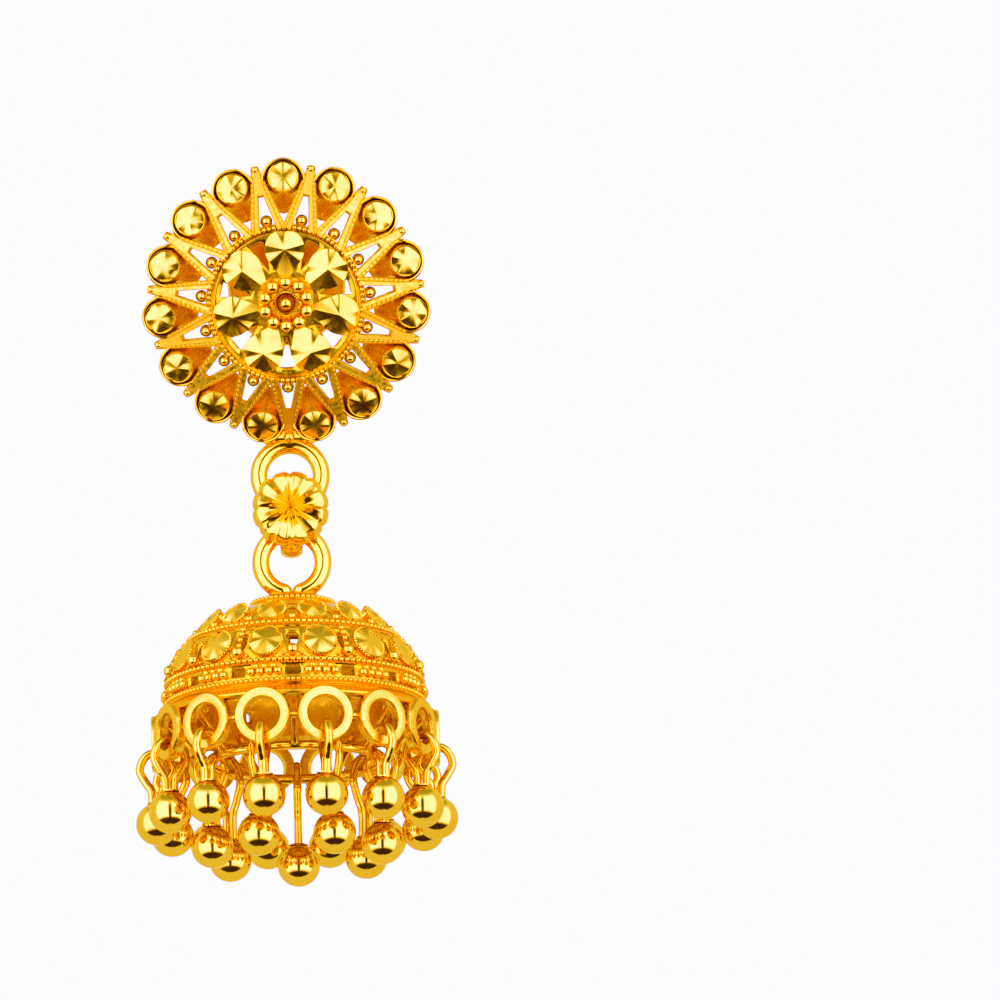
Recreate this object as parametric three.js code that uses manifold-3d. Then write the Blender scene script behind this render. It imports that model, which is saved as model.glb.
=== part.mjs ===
// A jhumka earring in gold: a domed, pierced rosette at the ear, a fluted link and a bell hung with ball drops.
// Millimetres, +Z up, front facing -Y. The origin is on the post, in the middle of the ear lobe's thickness.
import * as THREE from 'three';
import { mergeVertices } from 'three/addons/utils/BufferGeometryUtils.js';
import Module from 'manifold-3d';

// Ear: how far the rosette's face leans down, and the fastening behind it.
const LEAN = THREE.MathUtils.degToRad(20);
const LOBE = 5.6;
const POST_RADIUS = 0.45;
const PAD_RADIUS = 1.8;
const PAD_THICKNESS = 0.5;
const NUT_RADIUS = 3.6;
const NUT_THICKNESS = 1.3;
const POST_END = 1.6;
const POST_SIDES = 12;

// Rosette at the ear. Radii are measured in its base plane, heights forward from that plane.
const STUD_CROWN = 2.4;
const CUP_COUNT = 15;
const CUP_CIRCLE = 7.3;
const CUP_RADIUS = 1.35;
const CUP_TIP = 5.25;
const CUP_DEPTH = 0.95;
const CUP_TILT = THREE.MathUtils.degToRad(14);
const CUP_DISC_CIRCLE = 7.42;
const CUP_DISC_RADIUS = 0.96;
const DISC_STAND = 0.3;
const DISC_PEAK = 0.28;
const DISC_SIDES = 8;
const STAR_TIP = 8.4;
const STAR_WIDTH = 0.45;
const STAR_DEPTH = 0.5;
const STAR_STAND = 0.3;
const CROWN_RADIUS = 4.9;
const CROWN_EDGE = 0.4;
const CROWN_SIDES = 21;
const SHELF_BACK = 1.05;
const SHELF_THICKNESS = 0.5;
const GAP_INNER = 2.2;
const GAP_OUTER = 4.0;
const GAP_WIDTH = 1.0;
const PETAL_COUNT = 7;
const PETAL_CIRCLE = 3.35;
const PETAL_ROUND = 1.22;
const PETAL_REACH = 2.05;
const PETAL_WALL = 0.45;
const PETAL_PEAK = 0.35;
const PETAL_SIDES = 10;
const EYE_CIRCLE = 1.34;
const EYE_WIDTH = 0.62;
const EYE_SEAT = 0.4;
const EYE_RECESS = 0.7;

// The two round rings that carry the bell, and the oblong loop that joins them.
const RING_RADIUS = 1.9;
const RING_WIRE = 0.53;
const RING_LAP = 0.16;
const RING_FORWARD = 0.2;
const RING_SIDES = 18;
const RING_WIRE_SIDES = 6;
const SADDLE_WIDTH = 3.0;
const SADDLE_DEPTH = 0.7;
const SADDLE_HEIGHT = 1.1;
const BAR_PITCH = 1.6;
const CLEARANCE = 0.28;
const LOOP_BAND = 0.8;
const LOOP_WIDTH = 1.45;
const LOOP_CHAMFER = 0.25;
const FACE_DROP = 0.5;
const LINK_RADIUS = 2.35;
const LINK_FLUTES = 12;
const LINK_FLUTE_DEPTH = 0.16;
const LINK_THICKNESS = 0.55;
const LINK_PEAK = 0.45;

// Bell: a dome, a short flared skirt and a row of rim rings.
const BELL_RADIUS = 7.75;
const BELL_HEIGHT = 7.05;
const BELL_WALL = 0.5;
const BELL_SINK = 0.42;
const BELL_SIDES = 28;
const DOME_FULLNESS = 2.8;
const DOME_ROUNDNESS = 0.85;
const EDGE_FLARE = 0.5;
const EDGE_DROP = 0.42;
const RIM_DROP = 2.05;
const RIM_COUNT = 14;
const RIM_CIRCLE = 8.4;
const RIM_OUTER = 1.72;
const RIM_HOLE = 1.1;
const RIM_DEPTH = 0.76;
const RIM_SIDES = 10;
const SKIRT_WALL = 0.4;
const SKIRT_FOOT = 0.35;
const HOOP_RADIUS = 5.3;
const HOOP_WIRE = 0.3;
const HOOP_DROP = 1.3;
const HOOP_SIDES = 14;
const STRUT_RADIUS = 0.26;

// Beaded lines round the dome, as heights in shares of the dome's own, lowest first.
const BEAD_LINES = [
  { up: 0.035, raise: 0.16, half: 0.014 },
  { up: 0.21, raise: 0.16, half: 0.016 },
  { up: 0.57, raise: 0.16, half: 0.016 },
];

// Rows of cut discs, and rows of openings that stand between the discs: up is a share of the dome's height.
const LOWER_DISC_RADIUS = 1.06;
const UPPER_DISC_RADIUS = 0.85;
const DISC_ROWS = [
  { count: RIM_COUNT, up: 0.385, radius: LOWER_DISC_RADIUS },
  { count: RIM_COUNT, up: 0.69, radius: UPPER_DISC_RADIUS },
];
const DISC_SINK = 0.25;
const DIAMOND_WIDTH = 0.62;
const DIAMOND_HEIGHT = 1.5;
const OBLONG_WIDTH = 1.0;
const OBLONG_HEIGHT = 0.5;
const OPENING_ROWS = [
  { up: 0.385, width: DIAMOND_WIDTH, height: DIAMOND_HEIGHT, corners: [[1, 0], [0, 1], [-1, 0], [0, -1]] },
  { up: 0.12, width: OBLONG_WIDTH, height: OBLONG_HEIGHT, corners: [[1, -1], [1, 1], [-1, 1], [-1, -1]] },
];

// Ball drops. Each loop's outline is in shares of its half width and of its length from ball to crown.
const HANG_OUT = 0.1;
const DROPS = {
  outer: { count: RIM_COUNT, ball: 1.35, wire: 0.26, half: 1.06, length: 4.4, rows: 5, steps: 10 },
  inner: { count: 7, ball: 1.3, wire: 0.24, half: 0.9, length: 6.2, rows: 5, steps: 8 },
};
const LOOP_OUTLINE = [
  { across: 0.32, along: 0.13 },
  { across: 0.31, along: 0.44 },
  { across: 0.64, along: 0.58 },
  { across: 1, along: 0.76 },
  { across: 0.64, along: 0.95 },
];
const BALL_SIDES = 10;
const WIRE_SIDES = 5;

const wasm = await Module();
wasm.setup();
const GOLD = { color: 0xf2b632, roughness: 0.18, metalness: 1 };
const AXIS_X = new THREE.Vector3(1, 0, 0);

// A closed geometry as a solid: shared corners merged, flat slivers dropped, faces turned outward.
function solid(geometry) {
  const bare = geometry.clone();
  bare.deleteAttribute('normal');
  bare.deleteAttribute('uv');
  const merged = mergeVertices(bare, 1e-4);
  const position = merged.attributes.position;
  const corners = [];
  let volume = 0;
  const a = new THREE.Vector3();
  const b = new THREE.Vector3();
  const c = new THREE.Vector3();
  for (let i = 0; i < merged.index.count; i += 3) {
    const [p, q, r] = [0, 1, 2].map((k) => merged.index.getX(i + k));
    if (p === q || q === r || r === p) continue;
    corners.push([p, q, r]);
    a.fromBufferAttribute(position, p);
    b.fromBufferAttribute(position, q);
    c.fromBufferAttribute(position, r);
    volume += a.dot(b.cross(c));
  }
  const facing = volume < 0 ? corners.map(([p, q, r]) => [p, r, q]) : corners;
  const triVerts = new Uint32Array(facing.flat());
  const vertProperties = new Float32Array(position.array);
  return new wasm.Manifold(new wasm.Mesh({ numProp: 3, vertProperties, triVerts }));
}

const fuse = (solids) => solids.reduce((whole, next) => whole.add(next));
const carve = (whole, cutters) => cutters.reduce((left, cutter) => left.subtract(cutter), whole);

// A fused solid as a named mesh.
function piece(name, whole) {
  const { vertProperties, triVerts } = whole.getMesh();
  const geometry = new THREE.BufferGeometry();
  geometry.setAttribute('position', new THREE.BufferAttribute(vertProperties, 3));
  geometry.setIndex(new THREE.BufferAttribute(triVerts, 1));
  geometry.computeVertexNormals();
  const mesh = new THREE.Mesh(geometry, new THREE.MeshStandardMaterial(GOLD));
  mesh.name = name;
  return mesh;
}

// Angles of a repeated feature, and the list of its copies.
const turn = (count, step) => (step / count) * 2 * Math.PI;
const each = (count, make) => Array.from({ length: count }, (_, step) => make(step));

function polygon(sides, radius) {
  return new THREE.Shape(each(sides, (k) => {
    const angle = turn(sides, k);
    return new THREE.Vector2(radius * Math.cos(angle), radius * Math.sin(angle));
  }));
}

// A round wire along a path, with a flat end at each end of it.
function wire(path, radius, sides, steps) {
  return new THREE.ExtrudeGeometry(polygon(sides, radius), { steps, bevelEnabled: false, extrudePath: path });
}

const bar = (from, to, radius, sides) => wire(new THREE.LineCurve3(from, to), radius, sides, 1);

// A profile of [radius, height] pairs turned about the z axis.
function turned(profile, sides) {
  const points = profile.map(([radius, height]) => new THREE.Vector2(radius, height));
  return new THREE.LatheGeometry(points, sides).rotateX(Math.PI / 2);
}

// A cut disc: a short round wall with facets that rise to its middle.
function cutDisc(radius, sink, stand, peak) {
  return turned([[0, -sink], [radius, -sink], [radius, stand], [0, stand + peak]], DISC_SIDES);
}

// A straight-sided cutter through a wall at z = 0, from an outline of [x, y] pairs.
function punch(outline, reach) {
  const shape = new THREE.Shape(outline.map(([x, y]) => new THREE.Vector2(x, y)));
  return new THREE.ExtrudeGeometry(shape, { depth: 2 * reach, bevelEnabled: false }).translate(0, 0, -reach);
}

// The rosette's frame: x across, y up its face, z forward, leaning down about the world's x axis.
const STUD_RADIUS = CUP_CIRCLE + CUP_RADIUS;
const studTurn = new THREE.Quaternion().setFromAxisAngle(AXIS_X, Math.PI / 2 + LEAN);
const studForward = new THREE.Vector3(0, 0, 1).applyQuaternion(studTurn);
const studUp = new THREE.Vector3(0, 1, 0).applyQuaternion(studTurn);
const studCentre = studForward.clone().multiplyScalar(LOBE / 2);
const studFoot = studCentre.clone().addScaledVector(studUp, -STUD_RADIUS);
const studPlace = new THREE.Matrix4().compose(studCentre, studTurn, new THREE.Vector3(1, 1, 1));
const toStud = studPlace.clone().invert();

// Heights that follow one another down the earring, in the world's frame.
const HANG_Y = studFoot.y - RING_FORWARD;
const upperRingZ = studFoot.z + RING_LAP - RING_WIRE - RING_RADIUS;
const upperBarZ = upperRingZ - RING_RADIUS;
const lowerBarZ = upperBarZ - BAR_PITCH;
const lowerRingZ = lowerBarZ - RING_RADIUS;
const domeTopZ = lowerRingZ - RING_RADIUS - RING_WIRE + BELL_SINK;
const domeFootZ = domeTopZ - BELL_HEIGHT;
const rimZ = domeFootZ - RIM_DROP;
const hoopZ = rimZ - HOOP_DROP;

// The rosette's face follows a shallow paraboloid, STUD_CROWN high in the middle.
const crownHeight = (radius) => STUD_CROWN * (1 - (radius / STUD_RADIUS) ** 2);

function hangingRing(z) {
  const ring = new THREE.TorusGeometry(RING_RADIUS, RING_WIRE, RING_WIRE_SIDES, RING_SIDES).rotateX(Math.PI / 2);
  return ring.translate(0, HANG_Y, z);
}

// Cup: a drop-shaped body whose outer end is round, with a cut disc on it, leaning outward.
function cup(angle) {
  const tip = CUP_CIRCLE - CUP_TIP;
  const opening = Math.acos(Math.min(CUP_RADIUS / tip, 1));
  const outline = new THREE.Shape();
  outline.absarc(0, 0, CUP_RADIUS, -Math.PI / 2 + opening, 1.5 * Math.PI - opening, false);
  outline.lineTo(0, -tip);
  const body = new THREE.ExtrudeGeometry(outline, { depth: CUP_DEPTH, bevelEnabled: false, curveSegments: 4 });
  const disc = cutDisc(CUP_DISC_RADIUS, CUP_DEPTH / 2, DISC_STAND, DISC_PEAK);
  disc.translate(0, CUP_DISC_CIRCLE - CUP_CIRCLE, CUP_DEPTH);
  const place = new THREE.Matrix4().makeRotationZ(-angle)
    .multiply(new THREE.Matrix4().makeTranslation(0, CUP_CIRCLE, 0))
    .multiply(new THREE.Matrix4().makeRotationX(-CUP_TILT));
  return fuse([body, disc].map((geometry) => solid(geometry.applyMatrix4(place))));
}

// Star: a spike from each notch, whose two legs run in under the cups on either side to the crown's edge.
function starSpike(notch) {
  const foot = (CROWN_RADIUS - CROWN_EDGE / 2) * Math.sin(Math.PI / CUP_COUNT);
  const near = (CROWN_RADIUS - CROWN_EDGE / 2) * Math.cos(Math.PI / CUP_COUNT);
  const fall = Math.atan2(crownHeight(near) - crownHeight(STAR_TIP), STAR_TIP - near);
  const length = Math.hypot(STAR_TIP - near, crownHeight(near) - crownHeight(STAR_TIP));
  const outline = [[foot, 0], [STAR_WIDTH / 3, length], [-STAR_WIDTH / 3, length], [-foot, 0],
    [STAR_WIDTH - foot, 0], [0, length * (1 - STAR_WIDTH / foot)], [foot - STAR_WIDTH, 0]];
  const spike = punch(outline, STAR_DEPTH / 2).rotateX(-fall);
  return solid(spike.translate(0, near, crownHeight(near) + STAR_STAND / 2).rotateZ(-notch));
}

// Petal: a cut, pear-shaped dome. Its wall is a circle drawn out to a point toward the rosette's middle.
function petal(angle) {
  const opening = Math.acos(PETAL_ROUND / PETAL_REACH);
  const body = turned([[0, 0], [1, 0], [1, PETAL_WALL], [0, PETAL_WALL + PETAL_PEAK]], PETAL_SIDES);
  const position = body.attributes.position;
  for (let i = 0; i < position.count; i += 1) {
    const reach = Math.hypot(position.getX(i), position.getY(i));
    const fromPoint = Math.abs(Math.atan2(position.getX(i), -position.getY(i)));
    const drawn = fromPoint < opening ? PETAL_ROUND / Math.cos(opening - fromPoint) : PETAL_ROUND;
    if (reach > 0.5) position.setXY(i, position.getX(i) * drawn, position.getY(i) * drawn);
  }
  return solid(body.translate(0, PETAL_CIRCLE, SHELF_BACK + SHELF_THICKNESS / 2).rotateZ(-angle));
}

// Shelf behind the petals: a raised edge, a small opening between each two petals and a seat for the eye.
function shelf() {
  const top = SHELF_BACK + SHELF_THICKNESS;
  const edge = crownHeight(CROWN_RADIUS) + STAR_STAND;
  const seat = top + EYE_SEAT;
  const plate = solid(turned([[0, SHELF_BACK], [CROWN_RADIUS, SHELF_BACK], [CROWN_RADIUS, edge],
    [CROWN_RADIUS - CROWN_EDGE, edge], [CROWN_RADIUS - CROWN_EDGE, top], [EYE_CIRCLE + EYE_WIDTH / 2, top],
    [EYE_CIRCLE, seat], [EYE_RECESS, seat], [EYE_RECESS, top], [0, top]], CROWN_SIDES));
  const gaps = each(PETAL_COUNT, (k) => {
    const outline = [[0, GAP_INNER], [GAP_WIDTH / 2, GAP_OUTER], [-GAP_WIDTH / 2, GAP_OUTER]];
    return solid(punch(outline, STUD_CROWN * 2).rotateZ(-turn(PETAL_COUNT, k + 0.5)));
  });
  return carve(plate, gaps);
}

function studRosette() {
  const saddle = new THREE.BoxGeometry(SADDLE_WIDTH, SADDLE_HEIGHT, SADDLE_DEPTH);
  saddle.translate(0, -STUD_RADIUS + SADDLE_HEIGHT / 2 - RING_WIRE / 2, SADDLE_DEPTH / 2);
  return fuse([
    shelf(),
    solid(saddle),
    solid(hangingRing(upperRingZ).applyMatrix4(toStud)),
    ...each(PETAL_COUNT, (k) => petal(turn(PETAL_COUNT, k))),
    ...each(CUP_COUNT, (k) => cup(turn(CUP_COUNT, k))),
    ...each(CUP_COUNT, (k) => starSpike(turn(CUP_COUNT, k + 0.5))),
  ]);
}

// Post: a pad behind the shelf, a round pin through the lobe and a plain disc nut behind it.
function earPost() {
  const front = SHELF_BACK - CLEARANCE;
  const nutFront = -LOBE;
  const nutBack = nutFront - NUT_THICKNESS;
  const end = nutBack - POST_END;
  return solid(turned([[0, end], [POST_RADIUS, end], [POST_RADIUS, nutBack], [NUT_RADIUS, nutBack],
    [NUT_RADIUS, nutFront], [POST_RADIUS, nutFront], [POST_RADIUS, front - PAD_THICKNESS],
    [PAD_RADIUS, front - PAD_THICKNESS], [PAD_RADIUS, front], [0, front]], POST_SIDES));
}

// Link: an oblong band round both rings' bars, and a fluted rosette soldered to the front of it.
function linkRosette() {
  const inner = RING_WIRE + CLEARANCE;
  const outer = inner + LOOP_BAND;
  const stadium = (Path, radius) => {
    const path = new Path();
    path.absarc(0, 0, radius, 0, Math.PI, false);
    path.absarc(0, -BAR_PITCH, radius, Math.PI, 2 * Math.PI, false);
    path.closePath();
    return path;
  };
  const shape = stadium(THREE.Shape, outer);
  shape.holes.push(stadium(THREE.Path, inner));
  const band = new THREE.ExtrudeGeometry(shape, {
    depth: LOOP_WIDTH - 2 * LOOP_CHAMFER, curveSegments: 4, bevelEnabled: true, bevelSegments: 1,
    bevelThickness: LOOP_CHAMFER, bevelSize: LOOP_CHAMFER, bevelOffset: -LOOP_CHAMFER,
  });
  band.translate(0, 0, LOOP_CHAMFER - LOOP_WIDTH / 2).rotateX(Math.PI / 2).rotateZ(Math.PI / 2);
  band.translate(0, HANG_Y, upperBarZ);
  const sides = 2 * LINK_FLUTES;
  const face = turned([[0, -LOOP_BAND / 2], [LINK_RADIUS, -LOOP_BAND / 2], [LINK_RADIUS, LINK_THICKNESS],
    [0, LINK_THICKNESS + LINK_PEAK]], sides);
  const position = face.attributes.position;
  for (let i = 0; i < position.count; i += 1) {
    const reach = Math.hypot(position.getX(i), position.getY(i)) / LINK_RADIUS;
    const step = Math.round(Math.atan2(position.getY(i), position.getX(i)) / turn(sides, 1));
    const fluted = step % 2 !== 0 && reach > 0.5;
    const shrink = fluted ? 1 - LINK_FLUTE_DEPTH / LINK_RADIUS : 1;
    const drop = fluted && position.getZ(i) > 0 ? LINK_FLUTE_DEPTH * 2 : 0;
    position.setXYZ(i, position.getX(i) * shrink, position.getY(i) * shrink, position.getZ(i) - drop);
  }
  face.rotateX(Math.PI / 2).translate(0, HANG_Y - outer, upperBarZ - FACE_DROP);
  return fuse([solid(band), solid(face)]);
}

// Dome: its radius at a share of its height, falling slowly from the foot and fast near the top.
const domeRadius = (up) => BELL_RADIUS * (1 - up ** DOME_FULLNESS) ** DOME_ROUNDNESS;

// A place on the dome's outside, x across, y uphill, z outward.
function onDome(up, angle) {
  const step = 0.01;
  const rise = step * 2 * BELL_HEIGHT;
  const run = domeRadius(up + step) - domeRadius(up - step);
  const uphill = new THREE.Vector3(0, -run, rise).normalize();
  const across = AXIS_X.clone();
  const basis = new THREE.Matrix4().makeBasis(across, uphill, across.clone().cross(uphill));
  basis.setPosition(0, -domeRadius(up), up * BELL_HEIGHT);
  return new THREE.Matrix4().makeRotationZ(angle).multiply(basis);
}

// The shell's outside with a low ridge at each beaded line, then its inside back to the axis.
function bellShell() {
  const plain = [0.12, 0.32, 0.45, 0.68, 0.8, 0.91];
  const outside = plain.map((up) => [domeRadius(up), up * BELL_HEIGHT]);
  BEAD_LINES.forEach(({ up, raise, half }) => {
    outside.push([domeRadius(up - half), (up - half) * BELL_HEIGHT]);
    outside.push([domeRadius(up) + raise, up * BELL_HEIGHT]);
    outside.push([domeRadius(up + half), (up + half) * BELL_HEIGHT]);
  });
  outside.sort((a, b) => a[1] - b[1]);
  const inside = [0.93, 0.75, 0.5, 0.2].map((up) => [
    domeRadius(up) * (1 - BELL_WALL / BELL_RADIUS), up * (BELL_HEIGHT - BELL_WALL)]);
  const skirt = RIM_CIRCLE + SKIRT_WALL / 2;
  const foot = RIM_HOLE + SKIRT_FOOT - RIM_DROP;
  const edge = BELL_RADIUS + EDGE_FLARE;
  return solid(turned([
    [0, BELL_HEIGHT - BELL_WALL],
    ...inside,
    [BELL_RADIUS - BELL_WALL, 0],
    [skirt - SKIRT_WALL, foot],
    [skirt, foot],
    [edge, -EDGE_DROP],
    [BELL_RADIUS, 0],
    ...outside,
    [0, BELL_HEIGHT],
  ], BELL_SIDES).rotateZ(turn(BELL_SIDES, 0.5)));
}

// Half a step turns the first of a row off the front middle, so two of them stand to either side of it.
function row(count, make) {
  return each(count, (k) => make(turn(count, k + 0.5)));
}

function rimRing(angle) {
  const half = RIM_DEPTH / 2;
  const tube = turned([[RIM_HOLE, -half], [RIM_OUTER, -half], [RIM_OUTER, half], [RIM_HOLE, half],
    [RIM_HOLE, -half]], RIM_SIDES).rotateZ(turn(RIM_SIDES, 0.5));
  return solid(tube.rotateX(Math.PI / 2).translate(0, -RIM_CIRCLE, -RIM_DROP).rotateZ(angle));
}

// Hoop inside the skirt for the inner drops, with a strut to the wall between each two rim rings it faces.
function innerHoop() {
  const hoop = new THREE.TorusGeometry(HOOP_RADIUS, HOOP_WIRE, WIRE_SIDES, HOOP_SIDES);
  hoop.translate(0, 0, -RIM_DROP - HOOP_DROP);
  const struts = each(DROPS.inner.count, (k) => {
    const from = new THREE.Vector3(0, -HOOP_RADIUS, -RIM_DROP - HOOP_DROP);
    const to = new THREE.Vector3(0, SKIRT_WALL - RIM_CIRCLE, RIM_HOLE - RIM_DROP + SKIRT_FOOT + STRUT_RADIUS);
    return solid(bar(from, to, STRUT_RADIUS, WIRE_SIDES).rotateZ(turn(DROPS.inner.count, k)));
  });
  return [solid(hoop), ...struts];
}

function bell() {
  const openings = OPENING_ROWS.flatMap(({ up, width, height, corners }) => each(RIM_COUNT, (k) => {
    const outline = corners.map(([x, y]) => [x * width / 2, y * height / 2]);
    return solid(punch(outline, BELL_WALL * 2).applyMatrix4(onDome(up, turn(RIM_COUNT, k))));
  }));
  const shell = carve(bellShell(), openings);
  const discs = DISC_ROWS.flatMap(({ count, up, radius }) => row(count, (angle) => (
    solid(cutDisc(radius, DISC_SINK, DISC_STAND / 2, DISC_PEAK).applyMatrix4(onDome(up, angle))))));
  const ring = solid(hangingRing(lowerRingZ).translate(0, -HANG_Y, -domeFootZ));
  return fuse([shell, ring, ...discs, ...row(RIM_COUNT, rimRing), ...innerHoop()]);
}

// Drop: a ball on a pear-shaped wire loop. It stands in the plane of x and z, with the ball's centre at the origin.
function drop({ ball, wire: gauge, half, length, rows, steps }) {
  const side = LOOP_OUTLINE.map(({ across, along }) => new THREE.Vector3(across * half, 0, along * length));
  const back = side.map((point) => new THREE.Vector3(-point.x, 0, point.z)).reverse();
  const path = new THREE.CatmullRomCurve3([...side, new THREE.Vector3(0, 0, length), ...back]);
  const loop = wire(path, gauge, WIRE_SIDES, steps);
  const sphere = new THREE.SphereGeometry(ball, BALL_SIDES, rows).rotateX(Math.PI / 2);
  return fuse([solid(loop), solid(sphere)]);
}

// A ring of like drops round the bell, each turned so that its loop lies across the wire that carries it.
function dropRing(name, kind, radius, seat) {
  const shape = drop(kind);
  const digits = String(kind.count).length;
  const crown = seat + CLEARANCE + kind.wire;
  return each(kind.count, (k) => {
    const mesh = piece(`${name}_${String(k + 1).padStart(digits, '0')}`, shape);
    const angle = turn(kind.count, k + 0.5) - Math.PI / 2;
    mesh.position.set(radius * Math.cos(angle), radius * Math.sin(angle), crown - kind.length);
    mesh.rotation.z = angle;
    return mesh;
  });
}

const earring = new THREE.Group();

const ear = new THREE.Group();
ear.position.copy(studCentre);
ear.quaternion.copy(studTurn);
ear.add(piece('stud_rosette', studRosette()), piece('ear_post', earPost()));

const bellGroup = new THREE.Group();
bellGroup.position.set(0, HANG_Y, domeFootZ);
bellGroup.add(piece('bell_dome', bell()));
bellGroup.add(...dropRing('drop', DROPS.outer, RIM_CIRCLE + HANG_OUT, rimZ - RIM_HOLE - domeFootZ));
bellGroup.add(...dropRing('inner_drop', DROPS.inner, HOOP_RADIUS, hoopZ + HOOP_WIRE - domeFootZ));

earring.add(ear, piece('link_rosette', linkRosette()), bellGroup);

export default earring;
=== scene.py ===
"""A jhumka earring in polished gold: a pierced rosette, a fluted link and a bell fringed with ball drops.

Shapes are worked out in millimetres, in the frame of the packed model, and are turned into metres as they
are made.
"""

import math

import bpy
import numpy as np
from bpy.props import FloatProperty, FloatVectorProperty, IntProperty, PointerProperty
from mathutils import Matrix


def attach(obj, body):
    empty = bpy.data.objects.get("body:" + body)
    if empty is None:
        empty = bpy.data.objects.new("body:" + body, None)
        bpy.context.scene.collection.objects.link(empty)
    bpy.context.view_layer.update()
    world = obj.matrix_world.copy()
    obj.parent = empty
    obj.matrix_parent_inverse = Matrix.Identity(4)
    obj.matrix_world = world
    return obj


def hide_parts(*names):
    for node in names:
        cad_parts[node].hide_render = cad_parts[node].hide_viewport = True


bl_info = {
    "name": "Jhumka earring",
    "version": (1, 0, 0),
    "blender": (4, 5, 0),
    "location": "3D View > Sidebar > Earring",
    "description": "A gold jhumka: pierced rosette, fluted link and a bell fringed with ball drops",
    "category": "Add Mesh",
}

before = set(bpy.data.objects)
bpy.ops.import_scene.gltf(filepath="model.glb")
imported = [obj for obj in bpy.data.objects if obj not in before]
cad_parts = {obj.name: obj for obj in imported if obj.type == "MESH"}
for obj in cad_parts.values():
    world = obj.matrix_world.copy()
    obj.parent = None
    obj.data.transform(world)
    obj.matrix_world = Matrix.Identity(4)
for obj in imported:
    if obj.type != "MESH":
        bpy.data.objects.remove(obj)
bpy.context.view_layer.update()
MM = 0.001

# The lean of the rosette and the fastening behind it.
LEAN = math.radians(20)
LOBE = 5.6
POST_RADIUS = 0.45
PAD_RADIUS = 1.8
PAD_THICKNESS = 0.5
NUT_RADIUS = 3.6
NUT_THICKNESS = 1.3
POST_END = 1.6
CLEARANCE = 0.28

# The rosette: radii in its base plane, heights forward from that plane.
STUD_CROWN = 2.4
CUP_COUNT = 15
CUP_CIRCLE = 7.3
CUP_RADIUS = 1.35
CUP_TIP = 5.25
CUP_DEPTH = 0.95
CUP_TILT = math.radians(14)
CUP_DISC_CIRCLE = 7.42
STAR_TIP = 8.4
STAR_DEPTH = 0.5
STAR_STAND = 0.3
CROWN_RADIUS = 4.9
CROWN_EDGE = 0.4
SHELF_BACK = 1.05
SHELF_THICKNESS = 0.5
SHELF_TOP = SHELF_BACK + SHELF_THICKNESS
GAP_INNER = 2.2
GAP_OUTER = 4.0
GAP_WIDTH = 1.0
PETAL_COUNT = 7
PETAL_CIRCLE = 3.35
PETAL_ROUND = 1.22
PETAL_REACH = 2.05
PETAL_WALL = 0.45
PETAL_PEAK = 0.35
EYE_COUNT = 10
EYE_CIRCLE = 1.34
EYE_WIDTH = 0.62
EYE_SEAT = 0.4
EYE_RECESS = 0.7
PUPIL = 0.47
STUD_RADIUS = CUP_CIRCLE + CUP_RADIUS

# The rings, the oblong loop and the fluted rosette in front of it.
RING_LAP = 0.16
RING_FORWARD = 0.2
SADDLE_WIDTH = 3.0
SADDLE_HEIGHT = 1.1
SADDLE_DEPTH = 0.7
BAR_PITCH = 1.6
LOOP_BAND = 0.8
FACE_DROP = 0.5
LINK_SCALLOPS = 12
LINK_FLUTES = 10
LINK_THICKNESS = 0.55
LINK_PEAK = 0.45

# The bell: a dome, a short flared skirt and a row of rim rings.
BELL_HEIGHT = 7.05
BELL_SINK = 0.42
DOME_FULLNESS = 2.8
DOME_ROUNDNESS = 0.85
EDGE_FLARE = 0.5
EDGE_DROP = 0.42
RIM_DROP = 2.05
RIM_COUNT = 14
RIM_CIRCLE = 8.4
RIM_DEPTH = 0.76
SKIRT_WALL = 0.4
SKIRT_FOOT = 0.35
HOOP_RADIUS = 5.3
HOOP_WIRE = 0.3
HOOP_DROP = 1.3
STRUT_RADIUS = 0.26
TOP_DISC_COUNT = 14
INNER_COUNT = 7
HANG_OUT = 0.1
DROP_HALF = 1.02
DROP_LENGTH = 4.4
INNER_HALF = 0.88
INNER_LENGTH = 6.2
LOOP_OUTLINE = [(0.32, 0.13), (0.31, 0.44), (0.64, 0.58), (1, 0.76), (0.64, 0.95), (0, 1)]

# The picture's blue, held down in the gold's middle tones and let up in its highlights.
BLUE_CURVE = [(0.05, 0.006), (0.11, 0.035), (0.16, 0.17), (0.2, 0.38), (0.3, 0.62), (0.6, 0.85)]
SPECULAR_TINT = (1, 0.88, 0.55, 1)

# The light tent in degrees: low end, high end and soft edge, sideways from the front and then upward.
WINDOWS = (8, 80, 4), (-33, 48, 8)
DARK_GAP = (-20, 6, 3), (-60, 30, 8)
DARK_BAND = (-40, 90, 16), (-76, -38, 5)
OVERHEAD = 48, 64
TENT_COLOUR = (1, 0.985, 0.95, 1)
SHADE_COLOUR = (1, 0.5, 0.25, 1)
BACKDROP = (0.98, 0.98, 0.975, 1)

# The floor in metres, and the point in millimetres beside the earring that the camera looks at.
FLOOR_COLOUR = (0.9, 0.9, 0.895, 1)
FLOOR_ACROSS = -2.5, 2.5
FLOOR_DEEP = -0.025, 4
FLOOR_LINES = 21
AIM = (12.77, 0, -13.18)


def measure(name, description, size):
    """A length property whose default is given in millimetres."""
    return FloatProperty(name=name, description=description, default=size * MM, unit="LENGTH", precision=5)


class RosetteSizes(bpy.types.PropertyGroup):
    """Sizes of the rosette at the ear."""
    disc: measure("Cup disc", "Radius of the cut disc in each cup", 0.87)
    star: measure("Star leg", "Width of each leg of the star", 0.56)
    bead: measure("Crown bead", "Radius of the fine beads on the crown's edge", 0.165)
    granule: measure("Eye granule", "Radius of the granules round the eye", 0.43)
    facets: IntProperty(name="Petal facets", description="Number of facets on each petal", default=14, min=8)


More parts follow.
